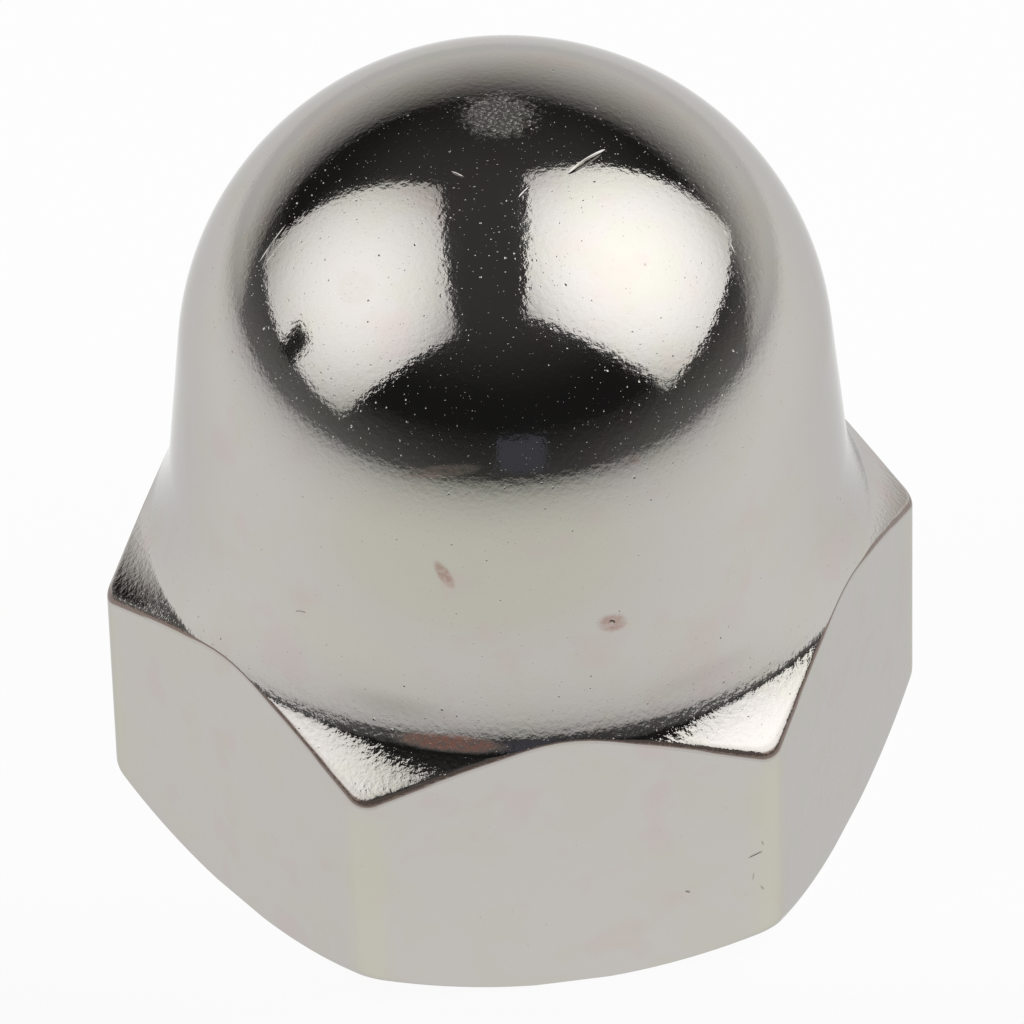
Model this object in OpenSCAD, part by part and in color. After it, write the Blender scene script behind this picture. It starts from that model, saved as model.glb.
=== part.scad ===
// Cap nut: a hexagon nut whose blind threaded hole is closed by a high dome.
// It is formed and tapped from one piece of steel, so the whole nut is one solid.
// Sizes are in millimetres. The origin is the centre of the bearing face, and +Z
// runs along the thread's axis to the top of the dome. Two corners lie on the X axis.

/* [Thread] */
// Outside diameter of the bolt thread that the nut takes
thread_d = 8; // [6:0.5:9]
// Distance between neighbouring turns of the thread
thread_pitch = 1.25; // [0.5:0.05:1.75]
// Width of the countersunk rim outside the thread, at the mouth of the hole
mouth_rim = 0.3; // [0.1:0.05:0.8]
// Included angle of the countersink at the mouth
mouth_angle = 120; // [60:5:130]
// Included angle of the cone that the drill left at the blind end
drill_point_angle = 118; // [90:1:140]
// Solid metal between the drill's cone and the top of the dome
crown_wall = 2; // [1:0.1:4]

/* [Hexagon] */
// Width across the flats, which a spanner grips
across_flats = 13; // [12.8:0.1:16]
// Height of each flat at its middle
hexagon_h = 5.85; // [4:0.05:7]
// Radius along the six upright edges
corner_r = 0.5; // [0.1:0.05:1]
// Radius of the hollow that falls away over each corner
hollow_r = 1.4; // [1.2:0.05:2]
// Distance outside each flat at which the flared skirt gives way to that hollow
hollow_setback = 0.03; // [0.02:0.01:0.1]
// Distance from each flat in to the rim of the bearing face
bearing_setback = 0.05; // [0.05:0.05:0.6]
// Slope of the lower chamfer, up from level
base_chamfer_angle = 36; // [15:1:45]

/* [Dome] */
// Height of the whole nut
total_h = 15; // [13.5:0.1:20]
// Distance that the skirt, run straight down, would stand inside each flat's upper edge
skirt_inset = 0.225; // [0.1:0.025:0.4]
// Radius of the flare at the foot of the skirt
flare_r = 5.5; // [5:0.1:8]
// Radius of the shoulder curve that turns the skirt into the dome
shoulder_r = 5.55; // [4.5:0.05:6]
// Distance from the axis to the centre of the shoulder curve
shoulder_offset = 0.35; // [0.1:0.05:0.5]
// Radius of the flatter crown on top of the dome
crown_r = 9; // [7:0.5:14]

/* [Finish] */
// Number of facets round a full circle in the preview
facets = 96; // [48:12:180]

/* [Hidden] */
$fn = facets;

FLATS = 6;
NICKEL = [0.74, 0.73, 0.71];
// Length by which a cutter runs past the face that it cuts
overshoot = 1;
// Overlap by which two tangent curves cross, so that they join cleanly
lap = 0.002;

// Thread and blind hole
bore_d = thread_d - thread_pitch;
mouth_d = thread_d + 2 * mouth_rim;
mouth_depth = (mouth_d - bore_d) / 2 / tan(mouth_angle / 2);
drill_cone_h = bore_d / 2 / tan(drill_point_angle / 2);
bore_depth = total_h - crown_wall - drill_cone_h;

// Hexagon: the sharp corners lie at corner_reach, and the rounded ones just inside it
flat_r = across_flats / 2;
corner_reach = flat_r / cos(180 / FLATS);
corner_centre = (flat_r - corner_r + lap) / cos(180 / FLATS);
bearing_r = flat_r - bearing_setback;
base_chamfer_h = (corner_reach - bearing_r) * tan(base_chamfer_angle);

// Dome: the skirt leans in to a shoulder arc, and a flatter crown arc closes the top
crown_centre_h = total_h - crown_r;
shoulder_rise = sqrt(pow(crown_r - shoulder_r + lap, 2) - pow(shoulder_offset, 2));
shoulder_centre = [shoulder_offset, crown_centre_h + shoulder_rise];
crown_edge_angle = atan2(shoulder_rise, shoulder_offset);
crown_edge = [0, crown_centre_h] + polar(crown_r, crown_edge_angle);

// Skirt: the tangent from its foot to the shoulder arc
foot = [flat_r - skirt_inset, hexagon_h];
foot_reach = foot - shoulder_centre;
skirt_angle = atan2(foot_reach[1], foot_reach[0]) + acos((shoulder_r - lap) / norm(foot_reach));
skirt_top = shoulder_centre + polar(shoulder_r - lap, skirt_angle);
up_skirt = unit(skirt_top - foot);
out_skirt = [up_skirt[1], -up_skirt[0]];

// Flare: an arc tangent to the skirt that reaches the middle of each flat's upper edge
flat_edge = [flat_r, hexagon_h];
flare_depth = flare_r - (flat_edge - foot) * out_skirt;
flare_rise = sqrt(pow(flare_r, 2) - pow(flare_depth, 2)) + (flat_edge - foot) * up_skirt;
flare_top = foot + up_skirt * flare_rise;
flare_centre = flare_top + out_skirt * (flare_r - lap);

// Hollow: a tighter arc, tangent to the flare, that falls away over the corners
hollow_lean = acos((flare_centre[0] - flat_r - hollow_setback) / flare_r);
hollow_centre = flare_centre - polar(flare_r - hollow_r + lap, hollow_lean);

function polar(r, angle) = r * [cos(angle), sin(angle)];
function unit(v) = v / norm(v);

// Hexagon outline with rounded corners: a sharp hexagon keeps the flats true
module hexagon_outline() {
    flat_length = 2 * corner_centre * sin(180 / FLATS);
    intersection() {
        circle(r = corner_reach, $fn = FLATS);
        union() {
            for (turn = [0:FLATS - 1])
                rotate(turn * 360 / FLATS)
                    translate([corner_centre, 0])
                        circle(r = corner_r);
            for (turn = [0:FLATS / 2 - 1])
                rotate((turn + 0.5) * 360 / FLATS)
                    square([across_flats + overshoot, flat_length], center = true);
        }
    }
}

// Half of the section below the dome, before its flare and hollow are cut
module hexagon_section() {
    polygon([
        [0, 0],
        [bearing_r, 0],
        [corner_reach, base_chamfer_h],
        [corner_reach, hollow_centre[1]],
        flare_top,
        skirt_top,
        [0, skirt_top[1]]
    ]);
}

// Half of what the flare and the hollow take off that section
module foot_cut() {
    reach = flare_r * 1.2;
    translate(hollow_centre)
        circle(r = hollow_r);
    intersection() {
        translate(flare_centre)
            circle(r = flare_r);
        polygon([
            flare_centre,
            flare_centre - polar(reach, hollow_lean),
            flare_centre - polar(reach, -10)
        ]);
    }
}

// Half of the dome's section: the shoulder arc, with the crown arc above it
module dome_section() {
    intersection() {
        translate(shoulder_centre)
            circle(r = shoulder_r);
        square([corner_reach, total_h]);
    }
    intersection() {
        translate([0, crown_centre_h])
            circle(r = crown_r);
        polygon([
            [0, shoulder_centre[1]],
            shoulder_centre,
            crown_edge,
            [crown_edge[0], total_h + overshoot],
            [0, total_h + overshoot]
        ]);
    }
}

// Outer form: the turned section, cut to a hexagon
module outer_form() {
    intersection() {
        linear_extrude(total_h + overshoot)
            hexagon_outline();
        rotate_extrude() {
            difference() {
                hexagon_section();
                foot_cut();
            }
            dome_section();
        }
    }
}

// Blind hole at the thread's inner diameter, with its countersink and drill cone
module blind_hole() {
    translate([0, 0, -overshoot])
        cylinder(d = bore_d, h = bore_depth + overshoot);
    translate([0, 0, bore_depth])
        cylinder(d1 = bore_d, d2 = 0, h = drill_cone_h);
    cylinder(d1 = mouth_d, d2 = bore_d, h = mouth_depth);
}

module cap_nut() {
    color(NICKEL)
        difference() {
            outer_form();
            blind_hole();
        }
}

cap_nut();
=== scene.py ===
import math
from collections import Counter

import bmesh
import bpy
from bpy.props import FloatProperty, FloatVectorProperty, IntProperty, PointerProperty, StringProperty
from mathutils import Matrix, Quaternion, Vector


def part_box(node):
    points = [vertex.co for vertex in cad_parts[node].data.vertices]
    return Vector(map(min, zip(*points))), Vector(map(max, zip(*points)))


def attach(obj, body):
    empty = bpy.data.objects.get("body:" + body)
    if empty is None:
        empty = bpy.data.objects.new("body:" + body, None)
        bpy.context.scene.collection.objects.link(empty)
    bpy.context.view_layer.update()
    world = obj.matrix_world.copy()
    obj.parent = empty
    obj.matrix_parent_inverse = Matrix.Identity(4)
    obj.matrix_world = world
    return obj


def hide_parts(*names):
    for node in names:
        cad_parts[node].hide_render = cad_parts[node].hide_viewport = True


bl_info = {
    "name": "Cap Nut",
    "version": (1, 0, 0),
    "blender": (4, 5, 0),
    "location": "View3D > Sidebar > Cap Nut",
    "description": "Dresses the packed cap nut in bright nickel and sets its stage",
    "category": "Object",
}

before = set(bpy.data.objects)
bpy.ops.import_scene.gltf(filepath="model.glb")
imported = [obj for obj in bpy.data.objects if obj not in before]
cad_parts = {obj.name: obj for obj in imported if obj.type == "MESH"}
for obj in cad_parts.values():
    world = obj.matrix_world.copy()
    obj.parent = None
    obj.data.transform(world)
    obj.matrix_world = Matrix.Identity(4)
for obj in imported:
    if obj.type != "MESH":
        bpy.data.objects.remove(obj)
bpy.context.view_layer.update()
nut_low, nut_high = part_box("cap_nut")

MM = 0.001
FLATS = 6

# Knocks from the plating barrel: azimuth, height, slant, length, width and depth in degrees and mm
MARKS = (
    (-42.3, 14.77, -10, 1.05, 0.13, 0.028),
    (-169.5, 13.34, 101, 0.9, 0.035, 0.008),
    (-166.7, 13.33, 95, 0.8, 0.03, 0.006),
    (-29.9, 13.32, -116, 0.48, 0.04, 0.01),
    (-126.5, 14.84, -6, 0.3, 0.05, 0.01),
    (-85.5, 14.76, 38, 0.31, 0.05, 0.01),
    (-81.1, 8.12, -15, 0.14, 0.08, 0.03),
    (-136.1, 7.68, 19, 0.33, 0.04, 0.01),
    (-62.6, 2.6, 25, 0.42, 0.05, 0.012),
    (-61.7, 2.85, -70, 0.16, 0.05, 0.014),
    (-62.9, 2.06, -98, 0.3, 0.05, 0.012),
    (-61.8, 1.76, -60, 0.2, 0.06, 0.014),
    (-71.9, 1.9, -25, 0.16, 0.06, 0.012),
)

# Wide casts of thin plating: azimuth, height, slant, length, width in degrees and mm, and strength
CASTS = (
    (-104.0, 9.8, 0, 8.5, 5.0, 0.6),
    (-126.0, 7.3, -20, 4.5, 2.0, 0.4),
)

# Painted shade, grey smudges on the flare at the foot of the skirt: azimuth, height, slant, length, width
# in degrees and mm, and strength
PAINTED_SHADE_SMUDGES = (
    (-118.0, 6.4, 0, 3.0, 0.7, 0.2),
    (-66.0, 6.4, 0, 3.6, 0.6, 0.09),
)

# Brown rust: azimuth, height, slant, length, width in degrees and mm, and how strong it is
STAINS = (
    (-81.1, 8.09, -15, 0.66, 0.46, 0.5),
    (-109.5, 9.35, -60, 0.75, 0.3, 0.5),
    (-108.5, 5.87, 0, 2.6, 0.4, 0.9),
    (-110.0, 11.4, 12, 1.7, 0.3, 0.35),
    (-75.0, 11.3, -12, 0.5, 0.25, 0.3),
    (-139.0, 13.65, 10, 0.9, 0.8, 0.05),
)

# Pits of three sizes: cell in mm, greatest radius as a share of the cell, and depth in mm
PITS = (
    (0.08, 0.2, 0.0026),
    (0.17, 0.15, 0.0042),
    (0.3, 0.12, 0.007),
)

# How far out from the skin a mark still shows, at least, in mm
THINNEST_MARK = 0.08

# Relief in mm: the steel's grain, the grain in the hollows, and the flecks of the frosted top
GRAIN = 0.0026
HOLLOW_GRAIN = 0.009
FLECKS = 0.007

# Rings of the nut's skin on each part of its section
RIM_RINGS = 8
LEDGE_RINGS = 24
FLARE_RINGS = 14
SKIRT_RINGS = 4
SHOULDER_RINGS = 44
CROWN_RINGS = 6
LOWER_RINGS = 7
BEARING_RINGS = 5


# ---------------------------------------------------------------- sizes and finish


def metres(name, description, default):
    """A length, kept in metres."""
    return FloatProperty(name=name, description=description, default=default, unit="LENGTH", precision=6)


def degrees(name, description, default):
    """An angle, given in degrees and kept in radians."""
    return FloatProperty(
        name=name, description=description, default=math.radians(default), subtype="ANGLE"
    )


def srgb(name, description, default):
    """A colour, as an sRGB hex value."""
    return StringProperty(name=name, description=description, default=default)


class CapNutSizes(bpy.types.PropertyGroup):
    """Sizes of the nut, in metres."""

    across_flats: metres("Across flats", "Width that a spanner grips", round(nut_high.y - nut_low.y, 6))
    total_height: metres("Height", "Height of the whole nut", round(nut_high.z - nut_low.z, 6))
    corner_radius: metres("Corner radius", "Radius along the six upright edges", 0.0005)
    hexagon_height: metres("Flat height", "Height of each flat at its middle", 0.00585)
    base_chamfer: degrees("Lower chamfer", "Slope of the lower chamfer, up from level", 34)
    bearing_setback: metres(
        "Bearing setback", "Distance from each flat in to the rim of the bearing face", 0.00002
    )
    skirt_inset: metres(
        "Skirt inset",
        "Distance that the skirt, run straight down, would stand inside each flat's upper edge",
        0.000225,
    )
    flare_radius: metres("Flare radius", "Radius of the flare at the foot of the skirt", 0.0055)
    hollow_setback: metres(
        "Hollow setback", "Distance outside each flat at which the flare gives way to the hollow", 0.00003
    )
    bend_radius: metres(
        "Bend radius", "Radius of the tight bend between the flare and the hollow", 0.00055
    )
    hollow_lean: degrees(
        "Hollow lean", "Lean of the hollow at its inner end, where the bend gives way to it", 38
    )
    hollow_radius: metres(
        "Hollow radius", "Radius of the hollow that falls away over each corner", 0.0028
    )
    shoulder_radius: metres(
        "Shoulder radius", "Radius of the curve that turns the skirt into the dome", 0.00555
    )
    shoulder_offset: metres(
        "Shoulder offset", "Distance from the axis to the centre of the shoulder curve", 0.00035
    )
    crown_radius: metres("Crown radius", "Radius of the flatter crown on top of the dome", 0.009)
    middle_round: metres(
        "Upper edge, middle", "Rounding of the flats' upper edges at the middle of each flat", 0.00018
    )
    corner_round: metres(
        "Upper edge, corner",
        "Rounding of the flats' upper edges at the corners, which tumbling wears most",
        0.00028,
    )
    lower_middle: metres(
        "Lower edge, middle", "Rounding of the flats' lower edges at the middle of each flat", 0.00008
    )
    lower_corner: metres(
        "Lower edge, corner", "Rounding of the flats' lower edges at the corners", 0.0005
    )
    thread_diameter: metres("Thread", "Outside diameter of the bolt thread that the nut takes", 0.008)
    thread_pitch: metres("Pitch", "Distance between neighbouring turns of the thread", 0.00125)
    mouth_rim: metres("Mouth rim", "Width of the countersunk rim outside the thread", 0.0003)
    mouth_angle: degrees("Mouth angle", "Included angle of the countersink", 120)
    drill_angle: degrees("Drill point", "Included angle of the cone at the blind end", 118)
    crown_wall: metres(
        "Crown wall", "Solid metal between the drill's cone and the top of the dome", 0.002
    )
    full_thread: metres("Full thread", "Depth to which the tap cuts its full thread", 0.0082)
    tap_lead: metres("Tap lead", "Length of the tapered run-out that the tap's point leaves", 0.0024)
    columns: IntProperty(name="Columns", description="Number of cuts along each flat", default=24)


class CapNutFinish(bpy.types.PropertyGroup):
    """Colours, as sRGB hex values, and gloss of the bright nickel."""

    nickel: srgb("Nickel", "Colour of the plating", "C3BFBB")
    green: srgb("Green cast", "Where the plating is thin", "BFBFAE")
    pink: srgb("Pink cast", "Where the plating is thick", "C4B3B0")
    edge: srgb("Edge cast", "Along the upright edges", "C6C5AE")
    stain: srgb("Stain", "Brown rust in hollows and pits", "AC7A6A")
    # rubbed, rust-brown rims, which also carry a painted dark line of shade
    rim: srgb("Worn rim", "Along the flats' upper edges", "6B4E3F")
    # dark colour at the bottom of the pits and knocks, which also paints grey smudges of shade on the flare
    pit_and_painted_shade: srgb("Dirt", "Grime at the bottom of the pits", "5B554C")
    grazing: srgb("Grazing dip", "Share of the light that nickel keeps at a glancing angle", "E0E0E0")
    bore: srgb("Thread", "Thin plating inside the hole", "A39F98")
    gloss: FloatProperty(
        name="Roughness", description="Roughness of the polished plating", default=0.07, min=0, max=1,
        subtype="FACTOR",
    )


class CapNutStage(bpy.types.PropertyGroup):
    """Floor, lamps and camera."""

    floor: srgb("Floor", "Colour of the floor", "FAFAFA")
    room: srgb("Room", "Colour of the unlit room", "202020")
    backdrop: srgb("Backdrop", "Colour of the backdrop", "EFEDEA")
    azimuth: degrees("Camera azimuth", "Turn of the camera from square to a flat", -7.9121)
    elevation: degrees("Camera elevation", "Angle of the camera above the floor", 40.9655)
    roll: degrees("Camera roll", "Tilt of the frame", -1.651)
    distance: metres("Camera distance", "From the aim to the lens", 0.21308)
    lens: FloatProperty(
        name="Lens", description="Focal length in millimetres", default=414.342, unit="CAMERA"
    )
    aim: FloatVectorProperty(
        name="Aim", description="Point at the middle of the frame",
        default=(-0.0000868, -0.000879, 0.0064835), unit="LENGTH", precision=6,
    )
    right_lamp: FloatProperty(
        name="Right lamp", description="Power of the right softbox", default=3.65, unit="POWER"
    )
    left_lamp: FloatProperty(
        name="Left lamp", description="Power of the left softbox", default=2.8, unit="POWER"
    )


# ---------------------------------------------------------------- small helpers


def only(*objects):
    """Deselects everything, then selects these and makes the first active."""
    if bpy.context.mode != "OBJECT":
        bpy.ops.object.mode_set(mode="OBJECT")
    bpy.ops.object.select_all(action="DESELECT")
    for obj in objects:
        obj.select_set(True)
    if objects:
        bpy.context.view_layer.objects.active = objects[0]


def edit(obj, mode="VERT"):
    """Opens a piece in edit mode with nothing selected."""
    only(obj)
    bpy.ops.object.mode_set(mode="EDIT")
    bpy.ops.mesh.select_mode(type=mode)
    bpy.ops.mesh.select_all(action="DESELECT")


def pick(obj, kind, test):
    """Selects the vertices, edges or faces that pass a test, and nothing else."""
    mesh = bmesh.from_edit_mesh(obj.data)
    for element in (*mesh.verts, *mesh.edges, *mesh.faces):
        element.select = False
    for element in getattr(mesh, kind):
        if test(element):
            element.select_set(True)
    bmesh.update_edit_mesh(obj.data)


def apply_modifier(obj, kind, **settings):
    """Adds one modifier, sets it up and applies it."""
    only(obj)
    modifier = obj.modifiers.new(kind.title(), kind)
    for name, value in settings.items():
        setattr(modifier, name, value)
    bpy.ops.object.modifier_apply(modifier=modifier.name)


def cut(obj, tool, operation="DIFFERENCE"):
    """Cuts a piece with a tool, exactly, and clears the tool away."""
    apply_modifier(obj, "BOOLEAN", object=tool, operation=operation, solver="EXACT")
    bpy.data.objects.remove(tool, do_unlink=True)


def arc(centre, radius, start, end, steps):
    """Points on an arc in the (radius, height) section, without its first one."""
    return [
        (
            centre[0] + radius * math.cos(start + (end - start) * i / steps),
            centre[1] + radius * math.sin(start + (end - start) * i / steps),
        )
        for i in range(1, steps + 1)
    ]


# ---------------------------------------------------------------- the nut's section


def polar(angle):
    """Unit vector in the (radius, height) section, by its angle up from level."""
    return Vector((math.cos(angle), math.sin(angle)))


class Section:
    """The nut's section in millimetres, from its sizes."""

    def __init__(self, sizes):
        to_mm = 1 / MM
        self.half = sizes.across_flats * to_mm / 2
        self.height = sizes.total_height * to_mm
        self.corner = sizes.corner_radius * to_mm
        self.middle_round = sizes.middle_round * to_mm
        self.corner_round = sizes.corner_round * to_mm
        self.lower_middle = sizes.lower_middle * to_mm
        self.lower_corner = sizes.lower_corner * to_mm
        self.base_slope = sizes.base_chamfer
        self.bearing = self.half - sizes.bearing_setback * to_mm
        self.hexagon = sizes.hexagon_height * to_mm
        self.inset = sizes.skirt_inset * to_mm
        self.flare = sizes.flare_radius * to_mm
        self.setback = sizes.hollow_setback * to_mm
        self.bend = sizes.bend_radius * to_mm
        self.hollow_start = sizes.hollow_lean
        self.hollow = sizes.hollow_radius * to_mm
        self.shoulder = sizes.shoulder_radius * to_mm
        self.offset = sizes.shoulder_offset * to_mm
        self.crown = sizes.crown_radius * to_mm
        self.bore = (sizes.thread_diameter - sizes.thread_pitch) * to_mm / 2
        self.mouth = sizes.thread_diameter * to_mm / 2 + sizes.mouth_rim * to_mm
        self.mouth_depth = (self.mouth - self.bore) / math.tan(sizes.mouth_angle / 2)
        self.cone_tip = self.height - sizes.crown_wall * to_mm
        self.bore_depth = self.cone_tip - self.bore / math.tan(sizes.drill_angle / 2)
        # radius at which the hexagon's columns give way to round rings
        self.ring = self.half - 0.06
        self.turned_form()

    def turned_form(self):
        """Crown and shoulder arcs, the skirt, the flare at its foot and the hollow over the corners."""
        crown_z = self.height - self.crown
        rise = math.sqrt((self.crown - self.shoulder) ** 2 - self.offset ** 2)
        self.crown_centre = Vector((0, crown_z))
        self.shoulder_centre = Vector((self.offset, crown_z + rise))
        self.crown_start = math.atan2(rise, self.offset)
        foot = Vector((self.half - self.inset, self.hexagon))
        reach = foot - self.shoulder_centre
        self.skirt_angle = math.atan2(reach.y, reach.x) + math.acos(self.shoulder / reach.length)
        self.skirt_top = self.shoulder_centre + self.shoulder * polar(self.skirt_angle)
        up = (self.skirt_top - foot).normalized()
        out = Vector((up.y, -up.x))
        edge = Vector((self.half, self.hexagon)) - foot
        depth = self.flare - edge.dot(out)
        climb = math.sqrt(self.flare ** 2 - depth ** 2) + edge.dot(up)
        self.flare_top = foot + up * climb
        self.flare_centre = self.flare_top + out * self.flare
        low = math.acos((self.flare_centre.x - self.ring) / self.flare)
        join = math.acos((self.flare_centre.x - self.half - self.setback) / self.flare)
        bend_centre = self.flare_centre - (self.flare - self.bend) * polar(join)
        hollow_centre = bend_centre + (self.hollow - self.bend) * polar(self.hollow_start)
        # arcs from the outermost in: centre, radius, and the leans at which each starts and ends
        self.ledge_arcs = (
            (hollow_centre, self.hollow, self.hollow_start, math.pi / 2),
            (bend_centre, self.bend, join, self.hollow_start),
            (self.flare_centre, self.flare, low, join),
        )

    def reach(self, x, y):
        """Distance from the axis to the rounded hexagon, in the direction of (x, y)."""
        sixth = math.pi / 3
        turn = (math.atan2(y, x) + sixth / 2) % sixth - sixth / 2
        centre = (self.half - self.corner) / math.cos(sixth / 2)
        half_corner = math.atan2(self.corner / 2, centre + self.corner * math.cos(sixth / 2))
        if abs(turn) < half_corner:
            side = centre * math.sin(turn)
            return centre * math.cos(turn) + math.sqrt(self.corner ** 2 - side ** 2)
        return self.half / math.cos(sixth / 2 - abs(turn))

    def skin(self, azimuth, height):
        """Place and outward normal on the nut's side, at an azimuth and a height."""
        lean = 0
        if height > self.skirt_top.y:
            lean = math.asin((height - self.shoulder_centre.y) / self.shoulder)
            spot = self.shoulder_centre + self.shoulder * polar(lean)
        elif height > self.flare_top.y:
            lean = self.skirt_angle
            spot = self.flare_top.lerp(
                self.skirt_top, (height - self.flare_top.y) / (self.skirt_top.y - self.flare_top.y)
            )
        elif height > self.hexagon:
            lean = math.asin((self.flare_centre.y - height) / self.flare)
            spot = self.flare_centre - self.flare * polar(lean)
        else:
            spot = Vector((self.reach(math.cos(azimuth), math.sin(azimuth)), height))
        place = Vector((spot.x * math.cos(azimuth), spot.x * math.sin(azimuth), spot.y))
        if lean == 0:
            sixth = math.pi / 3
            azimuth = (math.floor(azimuth / sixth) + 0.5) * sixth
        level = Vector((math.cos(azimuth), math.sin(azimuth), 0))
        return place, level * math.cos(lean) + Vector((0, 0, math.sin(lean)))

    def corner_share(self, reach):
        """How near a column stands to a corner: 0 at the middle of a flat, 1 at a sharp corner."""
        corner = self.half / math.cos(math.pi / FLATS)
        return (reach - self.half) / (corner - self.half)

    def rim_ball(self, reach):
        """The ball that rounds a flat's upper edge: its centre, its radius and where it leaves off."""
        share = self.corner_share(reach)
        radius = self.middle_round + (self.corner_round - self.middle_round) * share
        x = reach - radius
        for centre, bend, start, end in self.ledge_arcs:
            lean = math.acos(min((centre.x - x) / (bend + radius), 1))
            if lean >= start:
                break
        return Vector((x, centre.y - (bend + radius) * math.sin(lean))), radius, lean

    def upper_rim(self, reach, share):
        """Point on the rounded edge over a flat, from the flat at 0 to the hollow at 1."""
        centre, radius, lean = self.rim_ball(reach)
        return centre + radius * polar(lean * share)

    def ledge(self, reach, share):
        """Point on the hollow, the bend and the flare, from the rounded edge at 0 to the skirt at 1.

        The steps are shorter where the form turns quickly."""
        lean = self.rim_ball(reach)[2]
        parts = []
        for centre, radius, start, end in self.ledge_arcs:
            high = min(lean, end)
            if high > start:
                parts.append((centre, radius, high, start, (high - start) * (1 + 0.3 * radius)))
        left = share * sum(part[4] for part in parts)
        for centre, radius, high, start, weight in parts:
            point = centre - radius * polar(high + (start - high) * min(left / weight, 1))
            left -= weight
            if left <= 0:
                break
        return point

    def lower_rim(self, reach, lean):
        """Point on the rounded edges between a flat, the lower chamfer and the bearing face."""
        share = self.corner_share(reach) ** 2
        radius = self.lower_middle + (self.lower_corner - self.lower_middle) * share
        face = math.pi / 2 - self.base_slope
        corner = (reach, (reach - self.bearing) * math.tan(self.base_slope))
        upper = (reach - radius, corner[1] + radius * math.tan(face / 2))
        lower = (self.bearing - radius * math.tan(self.base_slope / 2), radius)
        if upper[1] < lower[1]:
            upper = (reach - radius, radius)
            lower = upper
        centre = upper if lean <= face + 1e-6 else lower
        return (
            centre[0] + radius * math.cos(lean),
            centre[1] - radius * math.sin(lean),
        )


# ---------------------------------------------------------------- modelling the nut


def add_ring(obj, place):
    """Extrudes the selected ring of edges and seats each new vertex on the section."""
    bpy.ops.mesh.extrude_edges_indiv()
    mesh = bmesh.from_edit_mesh(obj.data)
    for vertex in mesh.verts:
        if vertex.select:
            seat(vertex, place)
    bmesh.update_edit_mesh(obj.data)


def seat(vertex, place):
    """Moves a vertex to the (radius, height) that the section gives in its direction."""
    flat = Vector((vertex.co.x, vertex.co.y, 0)).normalized()
    radius, height = place(flat.x, flat.y)
    vertex.co = flat * radius + Vector((0, 0, height))


def add_round_ring(obj, was, now):
    """Extrudes the selected round ring, then lifts and scales it to its new place."""
    bpy.ops.mesh.extrude_edges_indiv()
    bpy.ops.transform.translate(value=(0, 0, now[1] - was[1]))
    scale = now[0] / was[0]
    bpy.ops.transform.resize(value=(scale, scale, 1), center_override=(0, 0, now[1]))
    return now


def hexagon_outline(section, cuts):
    """Starts the nut: a hexagon of edges with rounded corners, cut along its flats."""
    bpy.ops.mesh.primitive_circle_add(
        vertices=FLATS,
        radius=section.half / math.cos(math.pi / FLATS),
        rotation=(0, 0, math.pi / FLATS),
    )
    nut = bpy.context.active_object
    bpy.ops.object.transform_apply()
    edit(nut)
    bpy.ops.mesh.select_all(action="SELECT")
    bpy.ops.mesh.bevel(
        offset=section.corner * math.tan(math.pi / 6), segments=12, affect="VERTICES", profile=0.5
    )
    pick(nut, "edges", lambda edge: edge.calc_length() > section.half / 2)
    bpy.ops.mesh.subdivide(number_cuts=cuts)
    bpy.ops.mesh.select_all(action="SELECT")
    return nut


def turned_outside(section):
    """(radius, height) points up the flare and the skirt, and over the dome."""
    centre = section.flare_centre
    low = math.acos((centre.x - section.ring) / section.flare)
    high = math.acos((centre.x - section.flare_top.x) / section.flare)
    points = arc(centre, -section.flare, low, high, FLARE_RINGS)
    for i in range(1, SKIRT_RINGS + 1):
        points.append(tuple(section.flare_top.lerp(section.skirt_top, i / SKIRT_RINGS)))
    points += arc(
        section.shoulder_centre, section.shoulder, section.skirt_angle, section.crown_start,
        SHOULDER_RINGS,
    )
    points += arc(
        section.crown_centre, section.crown, section.crown_start, math.pi / 2, CROWN_RINGS
    )
    return points[:-1]


def blind_hole(section):
    """(radius, height) points over the mouth's broken edge, and up the countersink, bore and drill cone."""
    slope = (section.cone_tip - section.bore_depth) / section.bore
    return (
        (section.mouth + 0.08, 0),
        (section.mouth + 0.02, 0),
        (section.mouth - 0.03, 0.03),
        (section.bore, section.mouth_depth),
        (section.bore, section.bore_depth),
        (0.4, section.cone_tip - 0.4 * slope),
    )


def close_ring(was, now):
    """Closes the selected ring in one point on the axis, which it lifts from one height to another."""
    bpy.ops.mesh.extrude_edges_indiv()
    bpy.ops.transform.translate(value=(0, 0, now - was))
    bpy.ops.mesh.merge(type="CENTER")


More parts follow.
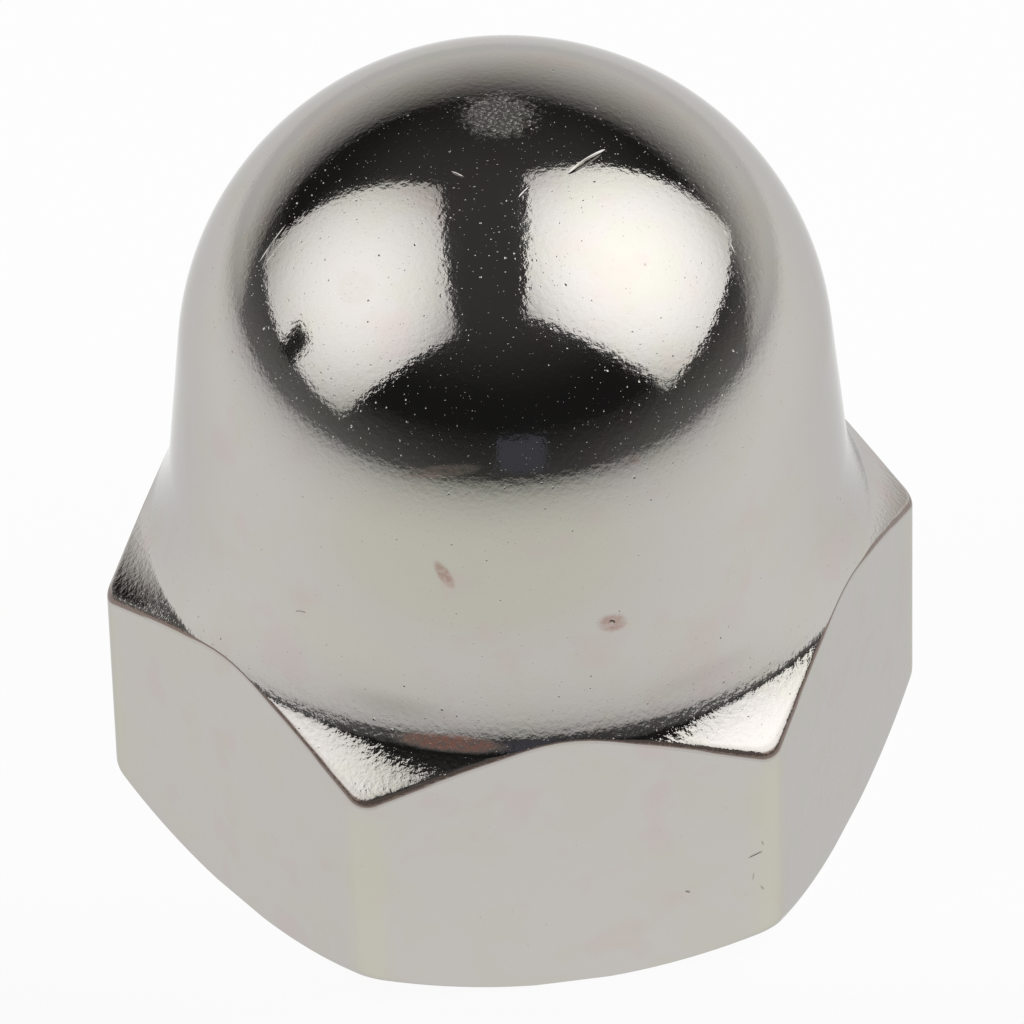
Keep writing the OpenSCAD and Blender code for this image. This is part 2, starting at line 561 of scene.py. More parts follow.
def model_nut(section, cuts):
    """The whole nut in millimetres, as one closed skin of rings, with a plain bore."""
    nut = hexagon_outline(section, cuts)
    mesh = bmesh.from_edit_mesh(nut.data)
    for vertex in mesh.verts:
        seat(vertex, lambda x, y: section.upper_rim(section.reach(x, y), 0))
    bmesh.update_edit_mesh(nut.data)

    # upper edge of the flats, corner hollows, flare, skirt and dome
    for step in range(1, RIM_RINGS + 1):
        add_ring(nut, lambda x, y: section.upper_rim(section.reach(x, y), step / RIM_RINGS))
    for step in range(1, LEDGE_RINGS + 1):
        add_ring(nut, lambda x, y: section.ledge(section.reach(x, y), step / LEDGE_RINGS))
    was = tuple(section.ledge(section.half, 1))
    for now in turned_outside(section):
        was = add_round_ring(nut, was, now)
    close_ring(was[1], section.height)

    # flats, lower edge, bearing face, mouth, bore and drill cone
    bpy.ops.mesh.select_mode(type="EDGE")
    pick(nut, "edges", lambda edge: edge.is_boundary)
    for share in (0.008, 0.1, 0.5, 0.94):
        add_ring(nut, lambda x, y: flat_point(section, x, y, share))
    face = math.pi / 2 - section.base_slope
    leans = [face * step / LOWER_RINGS for step in range(LOWER_RINGS + 1)]
    for step in range(BEARING_RINGS + 1):
        # the first ring lies just past the chamfer's own, on the next rounded edge
        share = (step + 0.001) / (BEARING_RINGS + 0.001)
        leans.append(math.pi / 2 - section.base_slope * (1 - share))
    for lean in leans:
        add_ring(nut, lambda x, y: section.lower_rim(section.reach(x, y), lean))
    was = (section.bearing - section.lower_corner * 1.3, 0)
    add_ring(nut, lambda x, y: was)
    for now in blind_hole(section):
        was = add_round_ring(nut, was, now)
    close_ring(was[1], section.cone_tip)
    bpy.ops.mesh.select_all(action="SELECT")
    bpy.ops.mesh.remove_doubles(threshold=1e-5)
    bpy.ops.mesh.normals_make_consistent(inside=False)
    bpy.ops.object.mode_set(mode="OBJECT")
    return nut


def wear_and_shade_rims(nut, section):
    """Marks the rounded upper edges of the flats, where the plating is rubbed and stained, and a dark line
    of painted shade runs along a band of the rounding.
    """
    rim_wear_and_shade = nut.data.attributes.new("worn_rim", "FLOAT", "POINT")
    for vertex, mark in zip(nut.data.vertices, rim_wear_and_shade.data):
        x, y, z = vertex.co / MM
        if z < 4 or math.hypot(x, y) < section.ring:
            continue
        centre, radius, lean = section.rim_ball(section.reach(x, y))
        turn = math.atan2(z - centre.y, math.hypot(x, y) - centre.x)
        if -0.01 < turn < lean + 0.01 and z - centre.y < radius:
            # full on the band of the rounding where the dark line of shade is painted, faint on the rest
            mark.value = 1 if 0.2 < turn < 0.65 else 0.15


def flat_point(section, x, y, share):
    """Point on a flat, at a share of the way from its upper edge to its lower one."""
    reach = section.reach(x, y)
    top = section.upper_rim(reach, 0)[1]
    low = section.lower_rim(reach, 0)[1]
    return reach, top + (low - top) * share


def model_tap(section, sizes):
    """The tap that cuts the thread: a screwed sixty-degree tooth, trimmed to a tapered blank."""
    pitch = sizes.thread_pitch / MM
    root_clearance = 0.03
    root = sizes.thread_diameter / MM / 2 + root_clearance
    core = section.bore - 0.18
    flank = (root - core) * math.tan(math.radians(30))
    crest = pitch / 8
    shelf = (pitch - 2 * flank - crest) / 2
    heights = [0, shelf, shelf + flank, shelf + flank + crest, pitch - shelf, pitch]
    radii = [core, core, root, root, core, core]
    depth = sizes.full_thread / MM
    lead = sizes.tap_lead / MM
    turns = math.ceil((depth + lead) / pitch) + 4
    mesh = bpy.data.meshes.new("tap")
    start = -2.5 * pitch
    points = [(radius, 0, start + height) for radius, height in zip(radii, heights)]
    mesh.from_pydata(points, [(i, i + 1) for i in range(len(points) - 1)], [])
    tap = bpy.data.objects.new("tap", mesh)
    bpy.context.collection.objects.link(tap)
    apply_modifier(
        tap, "SCREW", axis="Z", angle=2 * math.pi, screw_offset=pitch, iterations=turns,
        steps=96, render_steps=96,
    )
    edit(tap)
    bpy.ops.mesh.select_all(action="SELECT")
    bpy.ops.mesh.remove_doubles(threshold=0.001)
    for low in (True, False):
        edit(tap, "EDGE")
        middle = start + turns * pitch / 2
        pick(tap, "edges", lambda e: e.is_boundary and (e.verts[0].co.z < middle) == low)
        bpy.ops.mesh.extrude_edges_indiv()
        bpy.ops.transform.resize(value=(0, 0, 1), center_override=(0, 0, 0))
        bpy.ops.mesh.merge(type="CENTER")
    bpy.ops.mesh.select_all(action="SELECT")
    bpy.ops.mesh.normals_make_consistent(inside=False)
    bpy.ops.object.mode_set(mode="OBJECT")

    only()
    bpy.ops.mesh.primitive_cylinder_add(
        vertices=96, radius=root + 0.2, depth=depth + 1, location=(0, 0, (depth - 1) / 2)
    )
    blank = bpy.context.active_object
    bpy.ops.object.transform_apply()
    edit(blank, "FACE")
    pick(blank, "faces", lambda f: f.normal.z > 0.9)
    bpy.ops.mesh.extrude_region()
    bpy.ops.transform.translate(value=(0, 0, lead))
    taper = (section.bore - 0.1) / (root + 0.2)
    bpy.ops.transform.resize(value=(taper, taper, 1), center_override=(0, 0, depth + lead))
    bpy.ops.object.mode_set(mode="OBJECT")
    cut(tap, blank, "INTERSECT")
    return tap


# ---------------------------------------------------------------- materials


def linear(code):
    """Linear colour from an sRGB hex value."""
    parts = [int(code[i:i + 2], 16) / 255 for i in (0, 2, 4)]
    return tuple(c / 12.92 if c <= 0.04045 else ((c + 0.055) / 1.055) ** 2.4 for c in parts) + (1,)


def add_node(tree, kind, inputs=None, **settings):
    """Adds a node, sets it up, and gives each named input a value or a link.

    A node that is given as an input stands for its first output."""
    node = tree.nodes.new(kind)
    for name, value in settings.items():
        setattr(node, name, value)
    for socket, value in (inputs or {}).items():
        if isinstance(value, bpy.types.Node):
            value = value.outputs[0]
        if isinstance(value, bpy.types.NodeSocket):
            tree.links.new(value, node.inputs[socket])
        else:
            node.inputs[socket].default_value = value
    return node


def new_material(name):
    """An empty node material and its tree."""
    material = bpy.data.materials.new(name)
    material.use_nodes = True
    material.node_tree.nodes.clear()
    return material, material.node_tree


def spot(tree, place, section, mark, core):
    """A level inside an oval mark that lies on the nut's skin, fading from its core to its outline."""
    azimuth, height, slant, length, width, depth = mark
    centre, normal = section.skin(math.radians(azimuth), height)
    level = Vector((-normal.y, normal.x, 0)).normalized()
    rise = normal.cross(level)
    slant = math.radians(slant)
    along = level * math.cos(slant) + rise * math.sin(slant)
    turn = Matrix((along, normal.cross(along), normal)).transposed().to_euler()
    size = (length / 2, width / 2, max(width / 2, THINNEST_MARK))
    local = add_node(
        tree, "ShaderNodeMapping",
        {"Vector": place, "Location": centre, "Rotation": turn, "Scale": size}, vector_type="TEXTURE",
    )
    away = add_node(tree, "ShaderNodeVectorMath", {0: local}, operation="LENGTH").outputs["Value"]
    return add_node(
        tree, "ShaderNodeMapRange",
        {"Value": away, "From Min": core, "From Max": 1.0, "To Min": depth, "To Max": 0.0},
        interpolation_type="SMOOTHSTEP",
    )


def strongest(tree, place, section, marks, core, level=0.0):
    """The strongest of several marks and of a level that is there already."""
    for mark in marks:
        mask = spot(tree, place, section, mark, core)
        level = add_node(tree, "ShaderNodeMath", {0: level, 1: mask}, operation="MAXIMUM")
    return level


def plating_clouds(tree, place, section):
    """Plating of uneven thickness: green and pink clouds about a millimetre wide, and a third level."""
    noise = add_node(
        tree, "ShaderNodeTexNoise",
        {"Vector": place, "Scale": 0.8, "Detail": 2.0, "Roughness": 0.6},
    )
    clouds = add_node(tree, "ShaderNodeSeparateColor", {0: noise.outputs["Color"]})
    green = add_node(
        tree, "ShaderNodeMapRange",
        {"Value": clouds.outputs[0], "From Min": 0.49, "From Max": 0.62, "To Max": 0.35},
    )
    pink = add_node(
        tree, "ShaderNodeMapRange",
        {"Value": clouds.outputs[1], "From Min": 0.54, "From Max": 0.68, "To Max": 0.35},
    )
    return strongest(tree, place, section, CASTS, 0.5, green), pink, clouds.outputs[2]


def pitting(tree, place):
    """Depth of all the pits together, and of the largest ones alone, in mm."""
    dents = 0.0
    for cell, reach, depth in PITS:
        pit = add_node(tree, "ShaderNodeTexVoronoi", {"Vector": place, "Scale": 1 / cell})
        size = add_node(tree, "ShaderNodeSeparateColor", {0: pit.outputs["Color"]})
        edge = add_node(tree, "ShaderNodeMapRange", {"Value": size, "To Min": 0.02, "To Max": reach})
        inside = add_node(
            tree, "ShaderNodeMapRange",
            {"Value": pit.outputs["Distance"], "From Max": edge, "To Min": depth, "To Max": 0.0},
            interpolation_type="SMOOTHSTEP",
        )
        dents = add_node(tree, "ShaderNodeMath", {0: dents, 1: inside}, operation="ADD")
    return dents, inside


def frosted_top(tree, section, grain, height, radius):
    """Share of frost: the forming punch left a ragged dull disc on the top of the dome."""
    ragged = add_node(tree, "ShaderNodeMath", {0: grain, 1: 0.9, 2: radius}, operation="MULTIPLY_ADD")
    near_top = add_node(
        tree, "ShaderNodeMapRange",
        {"Value": ragged, "From Min": 0.9, "From Max": 1.25, "To Min": 1.0, "To Max": 0.0},
    )
    above = add_node(
        tree, "ShaderNodeMath", {0: height, 1: section.height - 1}, operation="GREATER_THAN"
    )
    return add_node(tree, "ShaderNodeMath", {0: near_top, 1: above}, operation="MULTIPLY")


def upright_bands(tree, section, height, radius):
    """Share of the warm cast along the upright edges, which fades out below the hollows."""
    upright = add_node(
        tree, "ShaderNodeMapRange",
        {"Value": radius, "From Min": section.half + 0.72, "From Max": section.half + 0.9},
    )
    below = add_node(
        tree, "ShaderNodeMapRange",
        {"Value": height, "From Min": 4.4, "From Max": 4.9, "To Min": 0.4, "To Max": 0.0},
    )
    return add_node(tree, "ShaderNodeMath", {0: upright, 1: below}, operation="MULTIPLY")


def hole_share(tree, section, height, radius):
    """One inside the threaded hole, and nought on the rest of the nut."""
    narrow = add_node(
        tree, "ShaderNodeMath", {0: radius, 1: section.mouth + 0.05}, operation="LESS_THAN"
    )
    low = add_node(
        tree, "ShaderNodeMath", {0: height, 1: section.cone_tip + 0.02}, operation="LESS_THAN"
    )
    return add_node(tree, "ShaderNodeMath", {0: narrow, 1: low}, operation="MULTIPLY")


def bright_nickel(finish, section):
    """Bright nickel, barrel plated on tumbled steel: a clear, slightly warm mirror, peppered with pits."""
    material, tree = new_material("bright_nickel_plating")
    place = add_node(tree, "ShaderNodeTexCoord").outputs["Object"]
    place = add_node(tree, "ShaderNodeVectorMath", {0: place, "Scale": 1 / MM}, operation="SCALE")
    height = add_node(tree, "ShaderNodeSeparateXYZ", {0: place}).outputs["Z"]
    level = add_node(tree, "ShaderNodeVectorMath", {0: place, 1: (1, 1, 0)}, operation="MULTIPLY")
    radius = add_node(tree, "ShaderNodeVectorMath", {0: level}, operation="LENGTH").outputs["Value"]

    green, pink, uneven = plating_clouds(tree, place, section)
    dents, pit_darkening_and_painted_shade = pitting(tree, place)
    # grain of the tumbled steel under the plating, about a tenth of a millimetre
    grain = add_node(
        tree, "ShaderNodeTexNoise", {"Vector": place, "Scale": 9.0, "Detail": 2.0, "Roughness": 0.6}
    )
    frost = frosted_top(tree, section, grain, height, radius)
    flecks = add_node(tree, "ShaderNodeTexNoise", {"Vector": place, "Scale": 15.0, "Detail": 1.0})
    flecks = add_node(tree, "ShaderNodeMapRange", {"Value": flecks, "From Min": 0.52, "From Max": 0.72})
    frosting = add_node(tree, "ShaderNodeMath", {0: flecks, 1: frost}, operation="MULTIPLY")

    # knocks and scratches from the barrel, darker at the bottom of the deep ones
    for mark in MARKS:
        mask = spot(tree, place, section, mark, 0.25)
        dents = add_node(tree, "ShaderNodeMath", {0: dents, 1: mask}, operation="ADD")
        pit_darkening_and_painted_shade = add_node(tree, "ShaderNodeMath", {0: pit_darkening_and_painted_shade, 1: mask}, operation="MAXIMUM")
    pit_darkening_and_painted_shade = add_node(
        tree, "ShaderNodeMapRange", {"Value": pit_darkening_and_painted_shade, "From Min": 0.004, "From Max": 0.02, "To Max": 0.7}
    )
    # grey smudges of painted shade on the flare, over the darkened pits and knocks
    pit_darkening_and_painted_shade = strongest(tree, place, section, PAINTED_SHADE_SMUDGES, 0.0, pit_darkening_and_painted_shade)

    # patchy rust, and the rubbed upper rims of the flats with their painted line of shade
    patchy = add_node(
        tree, "ShaderNodeMapRange", {"Value": grain, "From Min": 0.4, "From Max": 0.55, "To Min": 0.55}
    )
    stained = strongest(tree, place, section, STAINS, 0.5)
    stained = add_node(tree, "ShaderNodeMath", {0: stained, 1: patchy}, operation="MULTIPLY")
    rim_wear_and_shade = add_node(tree, "ShaderNodeAttribute", attribute_name="worn_rim").outputs["Fac"]
    rim_wear_and_shade = add_node(tree, "ShaderNodeMath", {0: rim_wear_and_shade, 1: 0.75}, operation="MULTIPLY")
    hole = hole_share(tree, section, height, radius)

    colour = linear(finish.nickel)
    for share, code in (
        (green, finish.green),
        (pink, finish.pink),
        (upright_bands(tree, section, height, radius), finish.edge),
        # rubbed rims, and the painted dark line of shade along them
        (rim_wear_and_shade, finish.rim),
        (stained, finish.stain),
        # darkened pit and knock bottoms, and painted shade on the flare
        (pit_darkening_and_painted_shade, finish.pit_and_painted_shade),
        (hole, finish.bore),
    ):
        colour = add_node(
            tree, "ShaderNodeMix", {0: share, 6: colour, 7: linear(code)}, data_type="RGBA"
        ).outputs[2]
    # rust and the rims, with their painted line of shade, are less metallic
    rust = add_node(tree, "ShaderNodeMath", {0: stained, 1: rim_wear_and_shade}, operation="MAXIMUM")
    bare = add_node(tree, "ShaderNodeMath", {0: rust, 1: -0.7, 2: 1.0}, operation="MULTIPLY_ADD")

    rough = add_node(
        tree, "ShaderNodeMapRange",
        {
            "Value": uneven, "From Min": 0.35, "From Max": 0.65,
            "To Min": finish.gloss - 0.02, "To Max": finish.gloss + 0.02,
        },
    )
    for share, rise in ((frost, 0.24), (hole, 0.2)):
        rough = add_node(
            tree, "ShaderNodeMath", {0: share, 1: rise, 2: rough}, operation="MULTIPLY_ADD"
        )

    # the grain is coarser in the hollows, which the tumbling stones don't reach
    coarse = add_node(
        tree, "ShaderNodeMapRange",
        {
            "Value": height, "From Min": section.hexagon - 0.1, "From Max": section.hexagon + 0.1,
            "To Min": HOLLOW_GRAIN, "To Max": GRAIN,
        },
    )
    relief = add_node(tree, "ShaderNodeMath", {0: grain, 1: coarse}, operation="MULTIPLY")
    relief = add_node(
        tree, "ShaderNodeMath", {0: frosting, 1: FLECKS, 2: relief}, operation="MULTIPLY_ADD"
    )
    relief = add_node(tree, "ShaderNodeMath", {0: relief, 1: dents}, operation="SUBTRACT")
    bump = add_node(tree, "ShaderNodeBump", {"Height": relief, "Strength": 1.0, "Distance": MM})
    shader = add_node(
        tree, "ShaderNodeBsdfPrincipled",
        {
            "Base Color": colour, "Metallic": bare, "Roughness": rough,
            "Specular Tint": linear(finish.grazing), "Normal": bump,
        },
    )
    add_node(tree, "ShaderNodeOutputMaterial", {"Surface": shader})
    return material


# ---------------------------------------------------------------- operators


class CAPNUT_OT_nut(bpy.types.Operator):
    """Model the cap nut, cut its thread and plate it"""

    bl_idname = "capnut.nut"
    bl_label = "Cap nut"

    def execute(self, context):
        sizes = context.scene.capnut_sizes
        section = Section(sizes)
        only()
        nut = model_nut(section, sizes.columns)
        cut(nut, model_tap(section, sizes))
        nut.name = "cap_nut_dressed"
        nut.data.name = nut.name
        only(nut)
        bpy.ops.transform.resize(value=(MM, MM, MM), center_override=(0, 0, 0))
        bpy.ops.object.transform_apply(location=True, rotation=True, scale=True)
        bpy.ops.object.shade_smooth_by_angle(angle=math.radians(16))
        apply_modifier(nut, "WEIGHTED_NORMAL", mode="FACE_AREA", weight=50, keep_sharp=True)
        wear_and_shade_rims(nut, section)
        nut.data.materials.append(bright_nickel(context.scene.capnut_finish, section))
        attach(nut, "root")
        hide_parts("cap_nut")
        sides = Counter(key for face in nut.data.polygons for key in face.edge_keys)
        if not sides or set(sides.values()) != {2}:
            raise RuntimeError("the nut isn't one closed skin")
        return {"FINISHED"}


class CAPNUT_OT_stage(bpy.types.Operator):
    """Set the floor, the room, the lamps and the camera"""

    bl_idname = "capnut.stage"
    bl_label = "Stage"

    def execute(self, context):
        stage = context.scene.capnut_stage
        set_floor(stage)
        set_room(stage)
        set_lamps(stage)
        set_camera(stage)
        context.scene.view_settings.view_transform = "Standard"
        if context.scene.camera is None:
            raise RuntimeError("the stage has no camera")
        return {"FINISHED"}


def seen_ray(tree):
    """One for a ray that the camera, a mirror or glass sends out, and nought for the rest."""
    path = add_node(tree, "ShaderNodeLightPath").outputs
    first = add_node(
        tree, "ShaderNodeMath", {0: path["Is Camera Ray"], 1: path["Is Glossy Ray"]}, operation="MAXIMUM"
    )
    return add_node(
        tree, "ShaderNodeMath", {0: first, 1: path["Is Transmission Ray"]}, operation="MAXIMUM"
    )


def table_direction(tree, place, stage):
    """Unit direction from the nut to a point: X to the camera's right, Y away from the camera."""
    turned = add_node(
        tree, "ShaderNodeMapping", {"Vector": place, "Rotation": (0, 0, -stage.azimuth)}
    )
    return add_node(tree, "ShaderNodeVectorMath", {0: turned}, operation="NORMALIZE")


def backdrop_share(tree, ray):
    """The painted backdrop's brightness at its foot, and the height that its glow reaches, in each
    direction round the nut.

    It is tallest behind the nut and a little to the right, and lower towards the sides."""
    behind = add_node(
        tree, "ShaderNodeVectorMath", {0: ray, 1: (0.17, 0.985, 0)}, operation="DOT_PRODUCT"
    ).outputs["Value"]
    tall = add_node(tree, "ShaderNodeMapRange", {"Value": behind, "From Min": 0.2, "From Max": 1.0})
    body = add_node(tree, "ShaderNodeMath", {0: tall, 1: 0.3}, operation="POWER")
    return body, tall


def painted_pool_of_light(tree, place, stage):
    """How brightly the painted pool of light glows on the table, full round the nut and fading to the
    front.
    """
    middle = Matrix.Rotation(stage.azimuth, 3, "Z") @ Vector((0.008, 0.03, 0))
    pool = add_node(
        tree, "ShaderNodeMapping",
        {
            "Vector": place, "Rotation": (0, 0, stage.azimuth),
            "Location": middle, "Scale": (0.16, 0.105, 1),
        },
        vector_type="TEXTURE",
    )
    away = add_node(tree, "ShaderNodeVectorMath", {0: pool}, operation="LENGTH").outputs["Value"]
    fall = add_node(tree, "ShaderNodeMath", {0: away, 1: 1.6}, operation="POWER")
    fall = add_node(tree, "ShaderNodeMath", {0: fall, 1: 1.0}, operation="ADD")
    level = add_node(tree, "ShaderNodeMath", {0: 1.17, 1: fall}, operation="DIVIDE")
    return add_node(tree, "ShaderNodeMath", {0: level, 1: 1.0}, operation="MINIMUM")


def set_floor(stage):
    """A round pale floor just under the nut, clear from below, with a painted pool of light round the nut
    and a painted glow that runs back to the backdrop behind.
    """
    only()
    bpy.ops.mesh.primitive_circle_add(
        vertices=96, radius=0.55, fill_type="NGON", location=(0, 0, nut_low.z - 0.02 * MM)
    )
    floor = bpy.context.active_object
    floor.name = "floor"
    bpy.ops.object.transform_apply()
    material, tree = new_material("pale_table_top")
    place = add_node(tree, "ShaderNodeTexCoord").outputs["Object"]
    # painted light: a pool of glow round the nut, and more glow towards the backdrop behind
    near = painted_pool_of_light(tree, place, stage)
    swept = backdrop_share(tree, table_direction(tree, place, stage))[0]
    swept = add_node(
        tree, "ShaderNodeMath", {0: swept, 1: linear(stage.backdrop)[1]}, operation="MULTIPLY"
    )
    pale = add_node(tree, "ShaderNodeMath", {0: near, 1: swept}, operation="MAXIMUM")
    paint = add_node(tree, "ShaderNodeBsdfDiffuse", {"Color": linear(stage.floor)})
    glow = add_node(tree, "ShaderNodeEmission", {"Color": (1, 1, 1, 1), "Strength": pale})
    # the small share of plain paint keeps the nut's shadow
    share = add_node(tree, "ShaderNodeMath", {0: seen_ray(tree), 1: 0.95}, operation="MULTIPLY")
    top = add_node(tree, "ShaderNodeMixShader", {0: share, 1: paint, 2: glow})
    clear = add_node(tree, "ShaderNodeBsdfTransparent")
    below = add_node(tree, "ShaderNodeNewGeometry").outputs["Backfacing"]
    both = add_node(tree, "ShaderNodeMixShader", {0: below, 1: top, 2: clear})
    add_node(tree, "ShaderNodeOutputMaterial", {"Surface": both})
    material.cycles.emission_sampling = "NONE"
    floor.data.materials.append(material)


def set_sky(scene):
    """A white background for the rays that see it, which lights nothing."""
    world = bpy.data.worlds.new("studio")
    scene.world = world
    world.use_nodes = True
    tree = world.node_tree
    tree.nodes.clear()
    sky = add_node(tree, "ShaderNodeBackground", {"Color": (1, 1, 1, 1), "Strength": seen_ray(tree)})
    add_node(tree, "ShaderNodeOutputWorld", {"Surface": sky})
    world.cycles.sampling_method = "NONE"


def set_room(stage):
    """The unlit room round the table, with a pale backdrop painted on it as glow, which sweeps round behind
    the nut and fades upward as painted shade.
    """
    set_sky(bpy.context.scene)
    only()
    bpy.ops.mesh.primitive_uv_sphere_add(segments=48, ring_count=24, radius=0.9)
    room = bpy.context.active_object
    room.name = "room"
    bpy.ops.object.shade_smooth()
    room.visible_camera = False
    material, tree = new_material("dark_room")
    place = add_node(tree, "ShaderNodeTexCoord").outputs["Object"]
    ray = table_direction(tree, place, stage)
    axes = add_node(tree, "ShaderNodeSeparateXYZ", {0: ray})
    right, high = axes.outputs["X"], axes.outputs["Z"]
    body, tall = backdrop_share(tree, ray)
    top = add_node(tree, "ShaderNodeMath", {0: tall, 1: 0.72, 2: 0.0001}, operation="MULTIPLY_ADD")
    climb = add_node(tree, "ShaderNodeMath", {0: high, 1: top}, operation="DIVIDE")
    # painted shade: the backdrop's glow fades upward, as on a backdrop lit less higher up
    painted_upward_fade = add_node(tree, "ShaderNodeMapRange", {"Value": climb, "To Min": 1.0, "To Max": 0.0})
    painted_backdrop_glow = add_node(tree, "ShaderNodeMath", {0: painted_upward_fade, 1: body}, operation="MULTIPLY")

    # the rest: a dim painted glow on the ceiling, and painted light low on the walls on each side, as if
    # they caught a little of the floor's light
    ceiling = add_node(
        tree, "ShaderNodeMapRange", {"Value": high, "From Min": 0.45, "From Max": 0.95, "To Max": 0.04},
        interpolation_type="SMOOTHSTEP",
    )
    side = add_node(tree, "ShaderNodeMath", {0: right, 1: right}, operation="MULTIPLY")
    wall = add_node(tree, "ShaderNodeMath", {0: side, 1: 0.13, 2: 0.04}, operation="MULTIPLY_ADD")
    wall = add_node(
        tree, "ShaderNodeMapRange",
        {"Value": high, "From Min": 0.0, "From Max": 0.32, "To Min": wall, "To Max": 0.0},
    )
    dim = add_node(tree, "ShaderNodeMath", {0: ceiling, 1: wall}, operation="ADD")
    dark = add_node(
        tree, "ShaderNodeMix", {0: dim, 6: linear(stage.room), 7: (1, 1, 1, 1)}, data_type="RGBA"
    ).outputs[2]
    colour = add_node(
        tree, "ShaderNodeMix", {0: painted_backdrop_glow, 6: dark, 7: linear(stage.backdrop)}, data_type="RGBA"
    ).outputs[2]
    light = add_node(tree, "ShaderNodeEmission", {"Color": colour, "Strength": 1.0})
    add_node(tree, "ShaderNodeOutputMaterial", {"Surface": light})
    material.cycles.emission_sampling = "NONE"
    room.data.materials.append(material)


def aside(stage, side, height):
    """Direction from the nut, by its angle right of the camera and its angle above the floor."""
    turn = stage.azimuth + math.radians(side)
    rise = math.radians(height)
    return Vector(
        (math.sin(turn) * math.cos(rise), -math.cos(turn) * math.cos(rise), math.sin(rise))
    )


def add_card(stage, name, code, side, height, reach, size, drop):
    """A small plain card that only the metal sees, square to the nut."""
    away = aside(stage, side, height)
    facing = away.to_track_quat("Z", "Y")
    only()
    bpy.ops.mesh.primitive_plane_add(size=1, rotation=facing.to_euler())
    card = bpy.context.active_object
    card.name = name
    card.scale = (*size, 1)
    card.location = away * reach + facing @ Vector(drop)
    bpy.ops.object.transform_apply()
    card.visible_camera = False
    card.visible_diffuse = False
    card.visible_shadow = False
    material, tree = new_material(name)
    light = add_node(tree, "ShaderNodeEmission", {"Color": linear(code), "Strength": 1.0})
    add_node(tree, "ShaderNodeOutputMaterial", {"Surface": light})
    material.cycles.emission_sampling = "NONE"
    card.data.materials.append(material)


def light_cloth(data, fall):
    """Makes a softbox's cloth brightest in its middle, and dimmer towards its rim."""
    data.use_nodes = True
    tree = data.node_tree
    tree.nodes.clear()
    cloth = add_node(tree, "ShaderNodeNewGeometry").outputs["Parametric"]
    away = add_node(tree, "ShaderNodeVectorMath", {0: cloth, 1: (0.5, 0.5, 0)}, operation="SUBTRACT")
    flat = add_node(tree, "ShaderNodeVectorMath", {0: away, 1: (1, 1, 0)}, operation="MULTIPLY")
    square = add_node(
        tree, "ShaderNodeVectorMath", {0: flat, 1: flat}, operation="DOT_PRODUCT"
    ).outputs["Value"]
    level = add_node(tree, "ShaderNodeMath", {0: square, 1: -fall, 2: 1.0}, operation="MULTIPLY_ADD")
    glow = add_node(tree, "ShaderNodeEmission", {"Strength": level})
    add_node(tree, "ShaderNodeOutputLight", {"Surface": glow})


def set_lamps(stage):
    """Two softboxes, one on each side of the nut, the left one's bracket and the camera's stand.

    A size or a shift is a share of the distance from the nut to the cloth."""
    reach = 0.6
    for name, power, side, height, roll, size, shift, fall in (
        ("right_softbox", stage.right_lamp, 91, 47.5, 0, (1.33, 1.33), (-0.045, 0.04), 1.4),
        ("left_softbox", stage.left_lamp, -90, 40.5, -4, (1.33, 1.22), (0.1, 0.01), 1.6),
    ):
        data = bpy.data.lights.new(name, "AREA")
        data.shape = "RECTANGLE"
        data.size = size[0] * reach
        data.size_y = size[1] * reach
        data.energy = power
        light_cloth(data, fall)
        lamp = bpy.data.objects.new(name, data)
        bpy.context.collection.objects.link(lamp)
        facing = aside(stage, side, height).to_track_quat("Z", "Y")
        lamp.location = facing @ Vector((shift[0] * reach, shift[1] * reach, reach))
        lamp.location.z += nut_high.z * 0.8
        lamp.rotation_euler = (facing @ Quaternion((0, 0, 1), math.radians(roll))).to_euler()
        lamp.visible_camera = False
    add_card(stage, "lamp_bracket", "1C1C1C", -90, 40.5, 0.55, (0.09, 0.13), (0.045, -0.27, 0))
    add_card(stage, "camera_stand", "4C4C55", 4.4, 9, 0.5, (0.14, 0.12), (0, 0, 0))


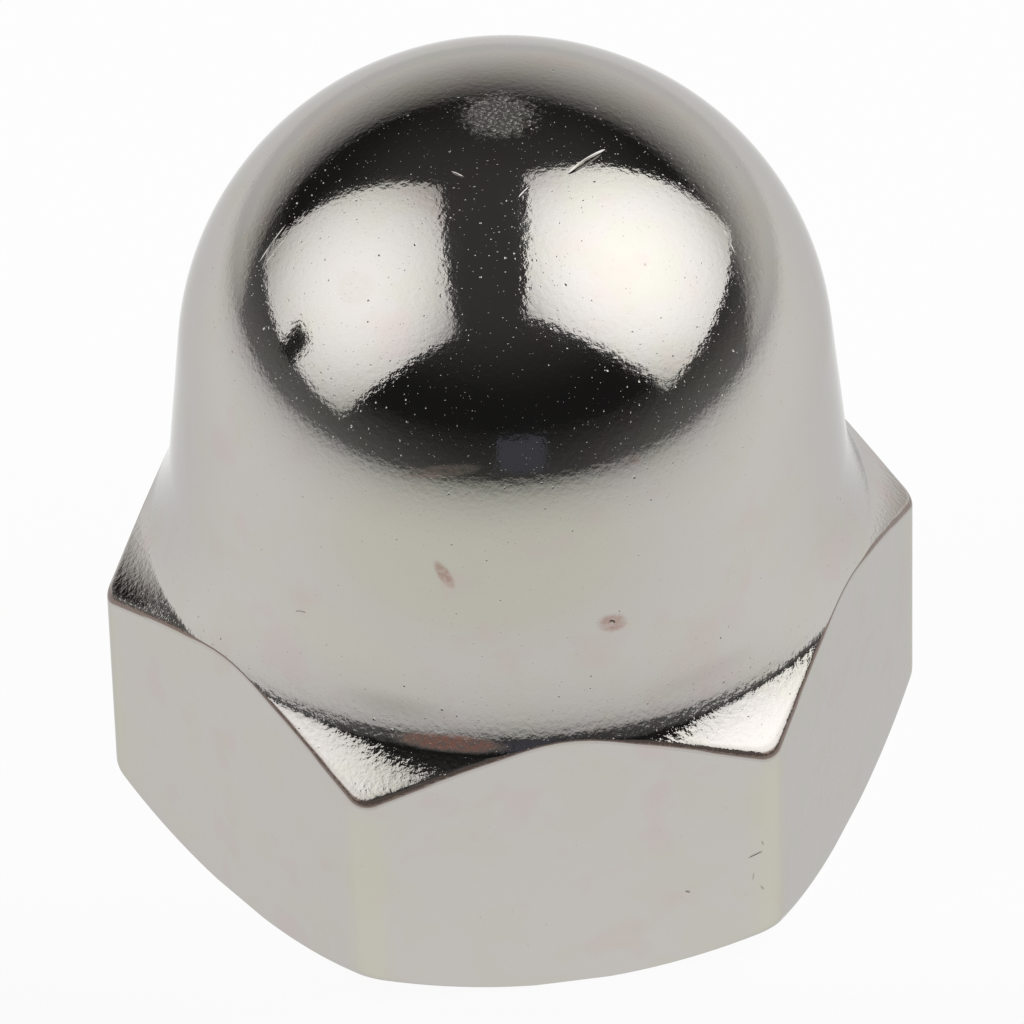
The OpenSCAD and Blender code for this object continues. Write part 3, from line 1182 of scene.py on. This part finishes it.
def set_camera(stage):
    """The camera, a little above the nut's shoulder and slightly left of a flat."""
    data = bpy.data.cameras.new("camera")
    data.sensor_width = 36
    data.lens = stage.lens
    data.clip_start = 0.01
    data.clip_end = 10
    camera = bpy.data.objects.new("camera", data)
    bpy.context.collection.objects.link(camera)
    back = aside(stage, 0, math.degrees(stage.elevation))
    right = Vector((math.cos(stage.azimuth), math.sin(stage.azimuth), 0))
    up = back.cross(right)
    side = right * math.cos(stage.roll) + up * math.sin(stage.roll)
    top = up * math.cos(stage.roll) - right * math.sin(stage.roll)
    camera.matrix_world = Matrix.Translation(Vector(stage.aim) + back * stage.distance) @ Matrix(
        (side, top, back)
    ).transposed().to_4x4()
    bpy.context.scene.camera = camera


class CAPNUT_PT_panel(bpy.types.Panel):
    """Lists the nut's sizes and the operators"""

    bl_idname = "CAPNUT_PT_panel"
    bl_label = "Cap Nut"
    bl_space_type = "VIEW_3D"
    bl_region_type = "UI"
    bl_category = "Cap Nut"

    def draw(self, context):
        layout = self.layout
        layout.operator(CAPNUT_OT_nut.bl_idname)
        layout.operator(CAPNUT_OT_stage.bl_idname)
        for group in (
            context.scene.capnut_sizes, context.scene.capnut_finish, context.scene.capnut_stage
        ):
            box = layout.box()
            for name in group.__annotations__:
                box.prop(group, name)


CLASSES = (CapNutSizes, CapNutFinish, CapNutStage, CAPNUT_OT_nut, CAPNUT_OT_stage, CAPNUT_PT_panel)


def register():
    for each in CLASSES:
        bpy.utils.register_class(each)
    bpy.types.Scene.capnut_sizes = PointerProperty(type=CapNutSizes)
    bpy.types.Scene.capnut_finish = PointerProperty(type=CapNutFinish)
    bpy.types.Scene.capnut_stage = PointerProperty(type=CapNutStage)


def unregister():
    del bpy.types.Scene.capnut_stage
    del bpy.types.Scene.capnut_finish
    del bpy.types.Scene.capnut_sizes
    for each in reversed(CLASSES):
        bpy.utils.unregister_class(each)


def main():
    register()
    bpy.ops.capnut.nut()
    bpy.ops.capnut.stage()


if __name__ == "__main__":
    main()
